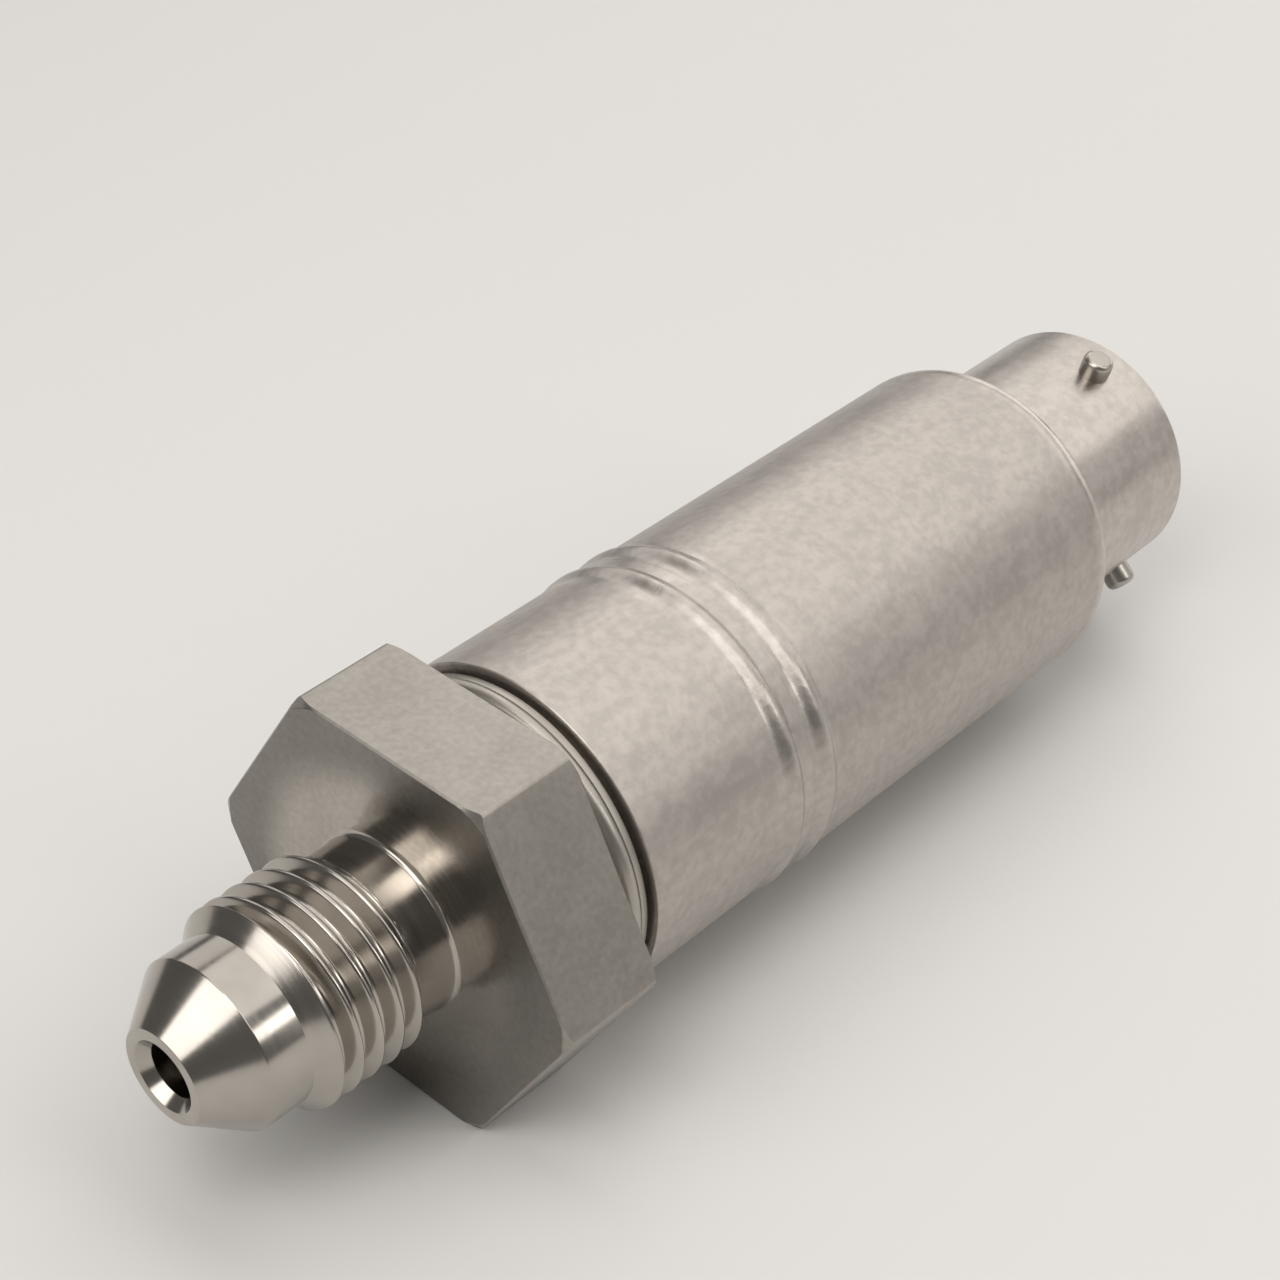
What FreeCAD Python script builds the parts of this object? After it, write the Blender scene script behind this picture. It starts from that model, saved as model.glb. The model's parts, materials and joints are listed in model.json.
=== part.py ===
import FreeCAD, Part
import math
import os

import Sketcher

# Pressure and temperature transmitter: a flared port fitting, an oil filled pressure capsule beside a
# thermowell, two welded housing sleeves with the electronics, and a keyed bayonet connector.
# Millimetres. X runs along the axis from the nose face to the connector, and Z stands on a hexagon flat.

sizes = {
    # Flared nose and land of the port
    "bore_radius": 1.5,
    "countersink_radius": 1.95,
    "countersink_depth": 0.6,
    "nose_radius": 2.55,
    "flare_angle": 37,
    "land_radius": 4.6,
    "land_length": 2.06,
    # Thread, drawn at its major diameter, and the neck behind it
    "thread_radius": 5.556,
    "thread_lead_angle": 45,
    "thread_length": 5.17,
    "runout_length": 0.8,
    "neck_radius": 4.75,
    "neck_length": 2.35,
    "neck_chamfer": 0.3,
    # Hexagon and collar
    "hex_flats": 20.9,
    "hex_length": 6.25,
    "hex_face_rim": 1.05,
    "hex_chamfer_angle": 30,
    "collar_step": 0.2,
    "collar_length": 1.05,
    "collar_bead_width": 0.9,
    "collar_bead_height": 0.15,
    # Pressure chamber and the socket for the cell block
    "chamber_radius": 6.2,
    "chamber_depth": 1.6,
    "socket_radius": 7.6,
    "socket_depth": 3.65,
    "slip_clearance": 0.03,
    "seal_clearance": 0.01,
    # Cell block
    "flange_step": 0.425,
    "flange_length": 0.41,
    "groove_width": 0.3,
    "spigot_reach": 3.24,
    # Pressure capsule, offset from the axis
    "capsule_offset": 3.9,
    "capsule_radius": 2.27,
    "capsule_bore": 1.7,
    "capsule_pocket_depth": 5.4,
    "capsule_window": 1.9,
    "weld_ring_bore": 1.8,
    "weld_ring_length": 0.3,
    "diaphragm_thickness": 0.12,
    "diaphragm_boss_radius": 0.45,
    "corrugation_width": 0.25,
    "corrugation_height": 0.1,
    "header_inset": 0.2,
    "header_length": 1.4,
    "header_pin_radius": 0.18,
    "header_pin_circle": 1.1,
    "header_pin_reach": 0.5,
    "pedestal_width": 1.2,
    "pedestal_height": 0.7,
    "die_width": 1.0,
    "die_height": 0.4,
    "fill_tube_radius": 0.28,
    "fill_tube_bore": 0.15,
    "fill_tube_circle": 1.12,
    "fill_tube_angle": 45,
    "fill_tube_reach": 1.4,
    # Thermowell and the temperature element in it
    "well_radius": 0.72,
    "well_bore": 0.5,
    "well_tip": 2.8,
    "well_end_wall": 0.45,
    "well_reach": 1.0,
    "well_plug_length": 1.2,
    "element_radius": 0.45,
    "element_length": 5.0,
    "element_gap": 0.1,
    "lead_radius": 0.09,
    "lead_spacing": 0.4,
    "lead_tail": 0.3,
    # Housing sleeves and the ring that joins them
    "sleeve_radius": 9.525,
    "sleeve_wall": 1.075,
    "sleeve_rim_chamfer": 0.12,
    "front_sleeve_length": 11.34,
    "rear_sleeve_length": 25.4,
    "sleeve_fit": 0.05,
    "bead_width": 2.2,
    "bead_height": 0.22,
    "ring_step": 0.025,
    "ring_band": 0.7,
    "ring_spigot": 2.4,
    "ring_wall": 0.9,
    # Connector shell
    "shell_spigot": 2.0,
    "shoulder_length": 1.67,
    "shoulder_round": 1.3,
    "shell_radius": 7.43,
    "shell_length": 10.29,
    "shell_edge_chamfer": 0.35,
    "shell_bore": 6.2,
    "keyway_depth": 0.5,
    "keyway_length": 8.36,
    "master_key_width": 1.9,
    "minor_key_width": 1.3,
    "master_key_angle": 90,
    "bayonet_pin_diameter": 1.8,
    "bayonet_pin_rise": 1.2,
    "bayonet_pin_depth": 0.45,
    "bayonet_pin_dome": 0.3,
    "bayonet_pin_setback": 2.86,
    "first_bayonet_angle": 104,
    # Sealed insert with its contacts
    "glass_length": 3.0,
    "glass_setback": 10.36,
    "rubber_length": 1.3,
    "rubber_clearance": 0.05,
    "contact_radius": 0.508,
    "contact_circle": 3.05,
    "contact_setback": 4.16,
    "contact_chamfer": 0.25,
    "contact_tail_radius": 0.35,
    "contact_tail_reach": 0.8,
    "contact_neck": 0.4,
    # Circuit boards
    "board_thickness": 1.0,
    "board_gap": 2.0,
    "front_board_side_gap": 0.45,
    "rear_board_side_gap": 0.1,
    "rear_board_gap": 1.8,
    "board_level": -0.7,
    "board_side_gap": 0.2,
    "tab_width": 5.0,
    "slot_clearance": 0.05,
    "hole_clearance": 0.03,
    "standoff_radius": 0.9,
    "standoff_inset": 1.4,
    "first_standoff_angle": 30,
    "screw_radius": 0.5,
    "screw_head_radius": 0.85,
    "screw_head_height": 0.6,
    "screw_depth": 1.4,
    "tube_wall": 0.3,
    "tube_end_gap": 0.2,
    # Components on the main board
    "processor_width": 5.0,
    "processor_height": 0.9,
    "amplifier_length": 3.9,
    "amplifier_width": 3.0,
    "amplifier_height": 1.1,
    "regulator_length": 3.5,
    "regulator_width": 3.0,
    "regulator_height": 1.3,
    "chip_length": 1.6,
    "chip_width": 0.8,
    "capacitor_height": 0.8,
    "resistor_height": 0.5,
    "component_gap": 2.2,
    "component_row": 4.2,
    "component_start": 3.6,
}

minor_key_angles = [105, 140, 215, 265]

doc = FreeCAD.newDocument("transmitter")
sheet = doc.addObject("Spreadsheet::Sheet", "Sizes")
for row, (name, value) in enumerate(sizes.items(), start=1):
    sheet.set(f"A{row}", name)
    sheet.set(f"B{row}", str(value))
    sheet.setAlias(f"B{row}", name)
doc.recompute()


class Size:
    # A length or angle held twice: as a number for drafting and as sheet text that drives the model
    def __init__(self, number, text):
        self.number = number
        self.text = text

    def __add__(self, other):
        other = as_size(other)
        return Size(self.number + other.number, f"({self.text} + {other.text})")

    def __sub__(self, other):
        other = as_size(other)
        return Size(self.number - other.number, f"({self.text} - {other.text})")

    def __mul__(self, other):
        other = as_size(other)
        return Size(self.number * other.number, f"({self.text} * {other.text})")

    def __truediv__(self, other):
        other = as_size(other)
        return Size(self.number / other.number, f"({self.text} / {other.text})")

    def __neg__(self):
        return Size(-self.number, f"(0 - {self.text})")

    def __radd__(self, other):
        return as_size(other) + self

    def __rsub__(self, other):
        return as_size(other) - self


def as_size(value):
    return value if isinstance(value, Size) else Size(value, str(value))


def sine(angle):
    return Size(math.sin(math.radians(angle.number)), f"sin({angle.text})")


def cosine(angle):
    return Size(math.cos(math.radians(angle.number)), f"cos({angle.text})")


def tangent(angle):
    return Size(math.tan(math.radians(angle.number)), f"tan({angle.text})")


def square_root(value):
    return Size(math.sqrt(value.number), f"sqrt({value.text})")


class Dimensions:
    # Every named size of the sheet as an attribute
    def __init__(self, names):
        for key in names:
            setattr(self, key, Size(sizes[key], f"Sizes.{key}"))


dim = Dimensions(sizes)
zero = Size(0, "0")
origin = FreeCAD.Vector(0, 0, 0)
along_x = FreeCAD.Vector(1, 0, 0)
along_z = FreeCAD.Vector(0, 0, 1)
nodes = []


def new_body(label):
    body = doc.addObject("PartDesign::Body", label)
    body.Label = label
    nodes.append(body)
    return body


def plane_of(body, role):
    return [item for item in body.Origin.OriginFeatures if item.Role == role][0]


def new_sketch(body, name, role, offset=zero, turn=None):
    sketch = body.newObject("Sketcher::SketchObject", name)
    sketch.AttachmentSupport = [(plane_of(body, role), "")]
    sketch.MapMode = "FlatFace"
    if turn is not None:
        sketch.AttachmentOffset = FreeCAD.Placement(origin, FreeCAD.Rotation(along_z, 30))
        sketch.setExpression("AttachmentOffset.Rotation.Angle", turn.text)
    sketch.setExpression("AttachmentOffset.Base.z", offset.text)
    return sketch


def drive(sketch, constraint, size):
    # A constraint whose value follows the sheet
    index = sketch.addConstraint(constraint)
    sketch.renameConstraint(index, f"size_{index}")
    sketch.setExpression(f"Constraints.size_{index}", size.text)


def pin_point(sketch, edge, end, point):
    # Hold one end of an edge at its two coordinates
    across, up = point
    if across.number == 0 and across.text == "0":
        sketch.addConstraint(Sketcher.Constraint("PointOnObject", edge, end, -2))
    else:
        drive(sketch, Sketcher.Constraint("DistanceX", -1, 1, edge, end, across.number), across)
    if up.number == 0 and up.text == "0":
        sketch.addConstraint(Sketcher.Constraint("PointOnObject", edge, end, -1))
    else:
        drive(sketch, Sketcher.Constraint("DistanceY", -1, 1, edge, end, up.number), up)


def rounded(across, up, radius):
    # A corner of an outline that a convex arc reaches
    return (across, up, radius)


def bead_radius(width, height):
    # Radius of the arc that stands above its chord by the height of a weld bead
    return (width * width / 4 + height * height) / (height * 2)


def draw_outline(sketch, corners):
    # A closed outline, clockwise, of straight edges and of convex arcs given by their radius
    count = len(corners)
    ends = []
    for index in range(count):
        start = corners[index]
        stop = corners[(index + 1) % count]
        first = FreeCAD.Vector(start[0].number, start[1].number, 0)
        last = FreeCAD.Vector(stop[0].number, stop[1].number, 0)
        if len(stop) == 2:
            edge = sketch.addGeometry(Part.LineSegment(first, last), False)
            ends.append((edge, 1, 2))
            continue
        radius = stop[2].number
        chord = last - first
        rise = math.sqrt(max(radius ** 2 - chord.Length ** 2 / 4, 0))
        inward = FreeCAD.Vector(chord.y, -chord.x, 0).normalize()
        centre = (first + last) * 0.5 + inward * rise
        from_angle = math.atan2(last.y - centre.y, last.x - centre.x)
        to_angle = math.atan2(first.y - centre.y, first.x - centre.x)
        if to_angle < from_angle:
            to_angle += 2 * math.pi
        circle = Part.Circle(centre, along_z, radius)
        edge = sketch.addGeometry(Part.ArcOfCircle(circle, from_angle, to_angle), False)
        ends.append((edge, 2, 1))
    for index in range(count):
        edge, start_end, stop_end = ends[index]
        next_edge, next_start, next_stop = ends[(index + 1) % count]
        sketch.addConstraint(Sketcher.Constraint("Coincident", edge, stop_end, next_edge, next_start))
    for index in range(count):
        edge, start_end, stop_end = ends[index]
        pin_point(sketch, edge, start_end, corners[index][:2])
    for index in range(count):
        stop = corners[(index + 1) % count]
        if len(stop) == 3:
            drive(sketch, Sketcher.Constraint("Radius", ends[index][0], stop[2].number), stop[2])


def draw_circle(sketch, across, up, radius):
    centre = FreeCAD.Vector(across.number, up.number, 0)
    edge = sketch.addGeometry(Part.Circle(centre, along_z, radius.number), False)
    pin_point(sketch, edge, 3, (across, up))
    drive(sketch, Sketcher.Constraint("Radius", edge, radius.number), radius)


def draw_rectangle(sketch, left, right, bottom, top):
    draw_outline(sketch, [(left, bottom), (left, top), (right, top), (right, bottom)])


def around(radius, angle):
    # A point on a circle about the axis, measured from +Y towards +Z
    return radius * cosine(angle), radius * sine(angle)


def turned(label, corners, axis="H_Axis"):
    body = new_body(label)
    sketch = new_sketch(body, label + "_outline", "XY_Plane")
    draw_outline(sketch, corners)
    revolution = body.newObject("PartDesign::Revolution", label + "_turning")
    revolution.Profile = sketch
    revolution.ReferenceAxis = (sketch, [axis])
    revolution.Angle = 360
    sketch.Visibility = False
    return body


def pocket_from(body, sketch, depth):
    # Cut from the sketch plane towards +X, and make sure that metal was taken away
    doc.recompute()
    before = body.Shape.Volume
    pocket = body.newObject("PartDesign::Pocket", sketch.Name + "_cut")
    pocket.Profile = sketch
    pocket.Reversed = True
    pocket.setExpression("Length", depth.text)
    doc.recompute()
    if not body.Shape.Volume < before:
        raise RuntimeError(f"{pocket.Name} cuts nothing")


def drill(body, name, start, depth, holes):
    # Round holes along X, each given by its centre and radius
    sketch = new_sketch(body, f"{body.Name}_{name}", "YZ_Plane", start)
    for across, up, radius in holes:
        draw_circle(sketch, across, up, radius)
    pocket_from(body, sketch, depth)


def pad_plate(label, start, thickness, radius, holes, slot):
    # A round board across the axis with its holes and the slot for a tab
    body = new_body(label)
    sketch = new_sketch(body, label + "_outline", "YZ_Plane", start)
    draw_circle(sketch, zero, zero, radius)
    for across, up, hole_radius in holes:
        draw_circle(sketch, across, up, hole_radius)
    draw_rectangle(sketch, *slot)
    pad = body.newObject("PartDesign::Pad", label + "_pad")
    pad.Profile = sketch
    pad.setExpression("Length", thickness.text)
    return body


def rod(label, radius, start, length, across, up):
    # A plain cylinder along X
    cylinder = doc.addObject("Part::Cylinder", label)
    cylinder.Label = label
    cylinder.setExpression("Radius", radius.text)
    cylinder.setExpression("Height", length.text)
    cylinder.Placement = FreeCAD.Placement(origin, FreeCAD.Rotation(FreeCAD.Vector(0, 1, 0), 90))
    place(cylinder, start, across, up)
    nodes.append(cylinder)
    return cylinder


def block(label, corner, length, width, height):
    box = doc.addObject("Part::Box", label)
    box.Label = label
    box.setExpression("Length", length.text)
    box.setExpression("Width", width.text)
    box.setExpression("Height", height.text)
    place(box, *corner)
    nodes.append(box)
    return box


def place(item, x, y, z):
    item.setExpression("Placement.Base.x", x.text)
    item.setExpression("Placement.Base.y", y.text)
    item.setExpression("Placement.Base.z", z.text)


# Stations along the axis, from the nose face to the connector's rear face
cone_end = (dim.land_radius - dim.nose_radius) / tangent(dim.flare_angle)
land_end = cone_end + dim.land_length
thread_start = land_end + (dim.thread_radius - dim.land_radius) * tangent(dim.thread_lead_angle)
thread_end = thread_start + dim.thread_length
neck_start = thread_end + dim.runout_length
hex_front = neck_start + dim.neck_length
hex_rear = hex_front + dim.hex_length
bead_front = hex_rear + dim.collar_length
flange_front = bead_front + dim.collar_bead_width
flange_rear = flange_front + dim.flange_length
block_front = flange_front - dim.socket_depth
chamber_front = block_front - dim.chamber_depth
sleeve_front = flange_rear + dim.groove_width
block_rear = sleeve_front + dim.spigot_reach
ring_front = sleeve_front + dim.front_sleeve_length
ring_rear = ring_front + dim.ring_band
shoulder_front = ring_rear + dim.rear_sleeve_length
shoulder_rear = shoulder_front + dim.shoulder_length
shell_rear = shoulder_rear + dim.shell_length
front_board_front = block_rear + dim.board_gap
front_board_rear = front_board_front + dim.board_thickness
shell_front = shoulder_front - dim.shell_spigot
rear_board_rear = shell_front - dim.rear_board_gap
rear_board_front = rear_board_rear - dim.board_thickness

# Radii that follow from the sleeves, the hexagon and the connector barrel
sleeve_bore = dim.sleeve_radius - dim.sleeve_wall
spigot_radius = sleeve_bore - dim.sleeve_fit
flange_radius = dim.sleeve_radius - dim.flange_step
collar_radius = flange_radius - dim.collar_step
ring_bore = spigot_radius - dim.ring_wall
front_board_radius = sleeve_bore - dim.front_board_side_gap
rear_board_radius = sleeve_bore - dim.rear_board_side_gap
standoff_circle = front_board_radius - dim.standoff_inset
hex_half = dim.hex_flats / 2
hex_face_radius = hex_half + dim.hex_face_rim
bayonet_reach = dim.shell_radius + dim.bayonet_pin_rise


def port_fitting():
    # One turned piece with a hexagon milled on it
    hex_corner = hex_half / cosine(Size(30, "30"))
    chamfer = (hex_corner - hex_face_radius) * tangent(dim.hex_chamfer_angle)
    bead_crest = flange_radius + dim.collar_bead_height
    bead_slope = dim.collar_bead_width / 4
    body = turned("port_fitting", [
        (zero, dim.countersink_radius),
        (zero, dim.nose_radius),
        (cone_end, dim.land_radius),
        (land_end, dim.land_radius),
        (thread_start, dim.thread_radius),
        (thread_end, dim.thread_radius),
        (neck_start, dim.neck_radius),
        (hex_front - dim.neck_chamfer, dim.neck_radius),
        (hex_front, dim.neck_radius + dim.neck_chamfer),
        (hex_front, hex_face_radius),
        (hex_front + chamfer, hex_corner),
        (hex_rear - chamfer, hex_corner),
        (hex_rear, hex_face_radius),
        (hex_rear, collar_radius),
        (bead_front, collar_radius),
        (bead_front + bead_slope, bead_crest),
        (flange_front - bead_slope, bead_crest),
        (flange_front, flange_radius),
        (flange_front, dim.socket_radius),
        (block_front, dim.socket_radius),
        (block_front, dim.chamber_radius),
        (chamber_front, dim.chamber_radius),
        (chamber_front, dim.bore_radius),
        (dim.countersink_depth, dim.bore_radius),
    ])
    sketch = new_sketch(body, "hexagon", "YZ_Plane", hex_front)
    draw_circle(sketch, zero, zero, hex_corner + 1)
    half_side = hex_half * tangent(Size(30, "30"))
    draw_outline(sketch, [
        (-half_side, hex_half),
        (half_side, hex_half),
        (hex_corner, zero),
        (half_side, -hex_half),
        (-half_side, -hex_half),
        (-hex_corner, zero),
    ])
    pocket_from(body, sketch, dim.hex_length)


def cell_block():
    # Closes the port, carries the capsule and the thermowell, and centres the front sleeve
    well_hole = dim.well_radius + dim.slip_clearance
    body = turned("cell_block", [
        (block_front, well_hole),
        (block_front, dim.socket_radius - dim.slip_clearance),
        (flange_front, dim.socket_radius - dim.slip_clearance),
        (flange_front, flange_radius),
        (flange_rear, flange_radius),
        (flange_rear, spigot_radius),
        (block_rear, spigot_radius),
        (block_rear, well_hole),
    ])
    seat = dim.capsule_radius + dim.slip_clearance
    drill(body, "capsule_pocket", block_front, dim.capsule_pocket_depth, [(zero, dim.capsule_offset, seat)])
    drill(body, "capsule_window", block_front, block_rear - block_front,
          [(zero, dim.capsule_offset, dim.capsule_window)])
    holes = [standoff_place(index) + (dim.screw_radius + dim.hole_clearance,) for index in range(3)]
    drill(body, "screw_holes", block_rear - (dim.screw_depth + dim.hole_clearance),
          dim.screw_depth + dim.hole_clearance, holes)


def standoff_place(index):
    return around(standoff_circle, dim.first_standoff_angle + 120 * index)


# Stations of the capsule, from its diaphragm to the ends of its pins
weld_ring_rear = block_front + dim.weld_ring_length
capsule_front = weld_ring_rear + dim.diaphragm_thickness
capsule_rear = block_front + dim.capsule_pocket_depth
header_rear = capsule_rear - dim.header_inset
header_front = header_rear - dim.header_length


def lifted(body):
    # The capsule's turned pieces sit beside the axis
    body.setExpression("Placement.Base.z", dim.capsule_offset.text)
    return body


def pressure_capsule():
    # An oil filled can: weld ring, corrugated diaphragm, body, glass header, die on its pedestal
    lifted(turned("weld_ring", [
        (block_front, dim.weld_ring_bore),
        (block_front, dim.capsule_radius),
        (weld_ring_rear, dim.capsule_radius),
        (weld_ring_rear, dim.weld_ring_bore),
    ]))
    lifted(turned("isolation_diaphragm", diaphragm_outline()))
    lifted(turned("capsule_body", [
        (capsule_front, dim.capsule_bore),
        (capsule_front, dim.capsule_radius),
        (capsule_rear, dim.capsule_radius),
        (capsule_rear, dim.capsule_bore),
    ]))
    glass = lifted(turned("header_glass", [
        (header_front, zero),
        (header_front, dim.capsule_bore - dim.seal_clearance),
        (header_rear, dim.capsule_bore - dim.seal_clearance),
        (header_rear, zero),
    ]))
    pin_hole = dim.header_pin_radius + dim.seal_clearance
    tube_hole = dim.fill_tube_radius + dim.seal_clearance
    holes = [header_pin_place(index) + (pin_hole,) for index in range(4)]
    holes.append(around(dim.fill_tube_circle, dim.fill_tube_angle) + (tube_hole,))
    drill(glass, "pin_holes", header_front, dim.header_length, holes)
    pin_start = header_front - dim.header_pin_reach
    for index in range(4):
        across, up = header_pin_place(index)
        rod(f"header_pin_{index + 1}", dim.header_pin_radius, pin_start,
            front_board_rear + dim.lead_tail - pin_start, across, up + dim.capsule_offset)
    across, up = around(dim.fill_tube_circle, dim.fill_tube_angle)
    tube = turned("fill_tube", [
        (header_front, dim.fill_tube_bore),
        (header_front, dim.fill_tube_radius),
        (header_rear + dim.fill_tube_reach, dim.fill_tube_radius),
        (header_rear + dim.fill_tube_reach, dim.fill_tube_bore),
    ])
    tube.setExpression("Placement.Base.y", across.text)
    tube.setExpression("Placement.Base.z", (up + dim.capsule_offset).text)
    pedestal_front = header_front - dim.pedestal_height
    block("die_pedestal", (pedestal_front, -dim.pedestal_width / 2, dim.capsule_offset - dim.pedestal_width / 2),
          dim.pedestal_height, dim.pedestal_width, dim.pedestal_width)
    block("sensing_die", (pedestal_front - dim.die_height, -dim.die_width / 2,
                          dim.capsule_offset - dim.die_width / 2),
          dim.die_height, dim.die_width, dim.die_width)


def header_pin_place(index):
    return around(dim.header_pin_circle, Size(90 * index, str(90 * index)))


def diaphragm_outline():
    # A thin disc with pressed folds between its flat centre and its clamped rim
    folds = []
    for step, side in enumerate((0, -1, 1, -1, 1, 0)):
        radius = dim.diaphragm_boss_radius + dim.corrugation_width * step
        folds.append((dim.corrugation_height * side, radius))
    front = [(weld_ring_rear + shift, radius) for shift, radius in folds]
    rear = [(capsule_front + shift, radius) for shift, radius in reversed(folds)]
    rim = [(weld_ring_rear, dim.capsule_radius), (capsule_front, dim.capsule_radius)]
    return [(weld_ring_rear, zero)] + front + rim + rear + [(capsule_front, zero)]


def temperature_probe():
    # A thin tube closed by a dome near the nose, with the element at its tip and two leads
    well_rear = block_rear + dim.well_reach
    dome_centre = dim.well_tip + dim.well_radius
    well_floor = dim.well_tip + dim.well_end_wall
    turned("thermowell", [
        (dim.well_tip, zero),
        rounded(dome_centre, dim.well_radius, dim.well_radius),
        (well_rear, dim.well_radius),
        (well_rear, dim.well_bore),
        (well_floor, dim.well_bore),
        (well_floor, zero),
    ])
    element_front = well_floor + dim.element_gap
    element_rear = element_front + dim.element_length
    rod("rtd_element", dim.element_radius, element_front, dim.element_length, zero, zero)
    plug = turned("thermowell_seal", [
        (well_rear - dim.well_plug_length, zero),
        (well_rear - dim.well_plug_length, dim.well_bore - dim.seal_clearance),
        (well_rear, dim.well_bore - dim.seal_clearance),
        (well_rear, zero),
    ])
    lead_hole = dim.lead_radius + dim.seal_clearance
    drill(plug, "lead_holes", well_rear - dim.well_plug_length, dim.well_plug_length,
          [(lead_place(side), zero, lead_hole) for side in (-1, 1)])
    for index, side in enumerate((-1, 1), start=1):
        rod(f"rtd_lead_{index}", dim.lead_radius, element_rear,
            front_board_rear + dim.lead_tail - element_rear, lead_place(side), zero)


def lead_place(side):
    return dim.lead_spacing / 2 * side


def housing():
    # Two sleeves, welded to the ring between them
    bead = bead_radius(dim.bead_width, dim.bead_height)
    ring_radius = dim.sleeve_radius - dim.ring_step
    turned("front_sleeve", [
        (sleeve_front, sleeve_bore),
        (sleeve_front, dim.sleeve_radius - dim.sleeve_rim_chamfer),
        (sleeve_front + dim.sleeve_rim_chamfer, dim.sleeve_radius),
        (ring_front - dim.bead_width, dim.sleeve_radius),
        rounded(ring_front, dim.sleeve_radius, bead),
        (ring_front, sleeve_bore),
    ])
    turned("joining_ring", [
        (ring_front - dim.ring_spigot, ring_bore),
        (ring_front - dim.ring_spigot, spigot_radius),
        (ring_front, spigot_radius),
        (ring_front, ring_radius),
        (ring_rear, ring_radius),
        (ring_rear, spigot_radius),
        (ring_rear + dim.ring_spigot, spigot_radius),
        (ring_rear + dim.ring_spigot, ring_bore),
    ])
    turned("rear_sleeve", [
        (ring_rear, sleeve_bore),
        (ring_rear, dim.sleeve_radius),
        rounded(ring_rear + dim.bead_width, dim.sleeve_radius, bead),
        (shoulder_front, dim.sleeve_radius),
        (shoulder_front, sleeve_bore),
    ])


def connector_shell():
    # Spigot for the rear sleeve, rounded shoulder, and a barrel with keyways inside and pins outside
    body = turned("connector_shell", [
        (shell_front, dim.shell_bore),
        (shell_front, spigot_radius),
        (shoulder_front, spigot_radius),
        (shoulder_front, dim.sleeve_radius),
        (shoulder_rear - dim.shoulder_round, dim.sleeve_radius),
        rounded(shoulder_rear, dim.sleeve_radius - dim.shoulder_round, dim.shoulder_round),
        (shoulder_rear, dim.shell_radius),
        (shell_rear - dim.shell_edge_chamfer, dim.shell_radius),
        (shell_rear, dim.shell_radius - dim.shell_edge_chamfer),
        (shell_rear, dim.shell_bore),
    ])
    keyway_front = shell_rear - dim.keyway_length
    widths = [dim.master_key_width] + [dim.minor_key_width] * len(minor_key_angles)
    for index, (turn, width) in enumerate(zip([0] + minor_key_angles, widths), start=1):
        sketch = new_sketch(body, f"keyway_{index}", "YZ_Plane", keyway_front, dim.master_key_angle + turn)
        draw_rectangle(sketch, dim.shell_bore / 2, dim.shell_bore + dim.keyway_depth,
                       -width / 2, width / 2)
        pocket_from(body, sketch, dim.keyway_length)
    for index in range(3):
        drill_bayonet_hole(body, index)


# The three bayonet pins stand in blind holes round the barrel
bayonet_station = shell_rear - dim.bayonet_pin_setback
bayonet_foot = dim.shell_radius - dim.bayonet_pin_depth


def bayonet_angle(index):
    return dim.first_bayonet_angle + 120 * index


def drill_bayonet_hole(body, index):
    # A flat bottomed hole, cut outwards from its floor
    angle = bayonet_angle(index)
    sketch = body.newObject("Sketcher::SketchObject", f"bayonet_hole_{index + 1}")
    sketch.AttachmentSupport = [(plane_of(body, "XY_Plane"), "")]
    sketch.MapMode = "FlatFace"
    sketch.AttachmentOffset = FreeCAD.Placement(origin, FreeCAD.Rotation(along_x, 30))
    sketch.setExpression("AttachmentOffset.Rotation.Angle", (angle - 90).text)
    across, up = around(bayonet_foot, angle)
    sketch.setExpression("AttachmentOffset.Base.y", across.text)
    sketch.setExpression("AttachmentOffset.Base.z", up.text)
    draw_circle(sketch, bayonet_station, zero, dim.bayonet_pin_diameter / 2 + dim.seal_clearance)
    pocket_from(body, sketch, bayonet_reach - bayonet_foot)


def bayonet_pins():
    pin_radius = dim.bayonet_pin_diameter / 2
    dome = (pin_radius * pin_radius + dim.bayonet_pin_dome * dim.bayonet_pin_dome) / (dim.bayonet_pin_dome * 2)
    for index in range(3):
        pin = turned(f"bayonet_pin_{index + 1}", [
            (zero, bayonet_foot),
            (zero, bayonet_reach),
            rounded(pin_radius, bayonet_reach - dim.bayonet_pin_dome, dome),
            (pin_radius, bayonet_foot),
        ], "V_Axis")
        pin.Placement = FreeCAD.Placement(origin, FreeCAD.Rotation(along_x, 30))
        pin.setExpression("Placement.Rotation.Angle", bayonet_angle(index).text)
        pin.setExpression("Placement.Base.x", bayonet_station.text)


# Stations of the insert, from the rear board to the contact tips
glass_rear = shell_rear - dim.glass_setback
glass_front = glass_rear - dim.glass_length
tail_front = rear_board_front - dim.contact_tail_reach
contact_tip = shell_rear - dim.contact_setback
contact_count = 6


def contact_place(index):
    # Five contacts on a circle and the last on the axis
    if index == contact_count - 1:
        return zero, zero
    return around(dim.contact_circle, dim.master_key_angle + 72 * index)


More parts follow.
